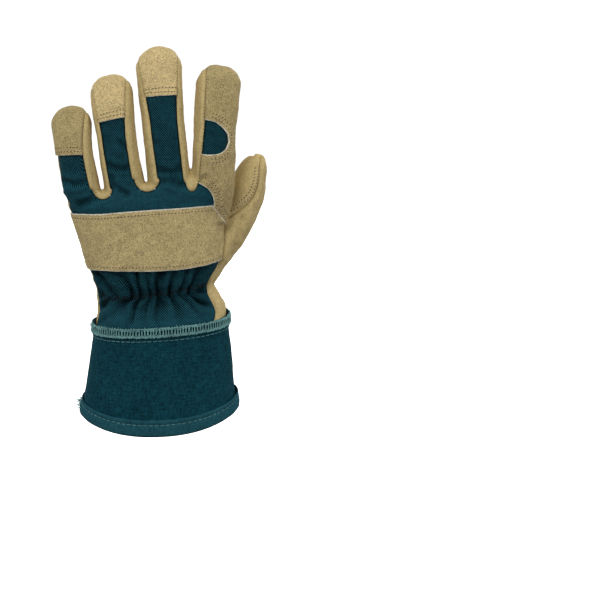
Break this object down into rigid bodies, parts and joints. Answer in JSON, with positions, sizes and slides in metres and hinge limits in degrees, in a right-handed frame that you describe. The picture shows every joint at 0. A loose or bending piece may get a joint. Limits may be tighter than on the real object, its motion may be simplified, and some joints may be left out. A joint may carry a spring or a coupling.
{
  "type": "leather palm gardening glove",
  "caption": "Left-hand work glove with a suede leather palm, thumb and fingertips, a cotton drill back, a gathered wrist, a knuckle strap and a stiff flared canvas cuff.",
  "frame": {"origin": "centre of the cuff's mouth, where the hand goes in, at the level of the hem's sides", "axes": "+Z to the fingertips, -Y out of the back of the hand, +X to the thumb"},
  "size_m": [0.1372, 0.0826, 0.2372],
  "materials": {
    "suede": "napped tan suede split leather, matt",
    "pale_suede": "paler napped suede split leather, matt",
    "drill": "dark teal cotton drill, matt twill weave",
    "canvas": "stiff dark teal canvas, plain weave",
    "tape": "teal cotton binding tape",
    "overlock_thread": "blue-green overlock thread",
    "sewing_thread": "pale tan sewing thread, slight sheen",
    "dark_thread": "dark teal sewing thread"
  },
  "bodies": {
    "root": {"palm": "suede", "ring_front": "suede", "middle_front": "suede", "finger_base_welt": "suede", "outer_thumb": "suede", "gusset_little_ring": "suede", "gusset_ring_middle": "suede", "gusset_middle_index": "suede", "back_cloth": "drill", "little_cap": "pale_suede", "ring_cap": "pale_suede", "middle_cap": "pale_suede", "index_wrap": "pale_suede", "knuckle_strap": "pale_suede", "cuff": "canvas", "hem_binding": "tape", "overlocked_edge": "overlock_thread"}
  },
  "joints": []
}
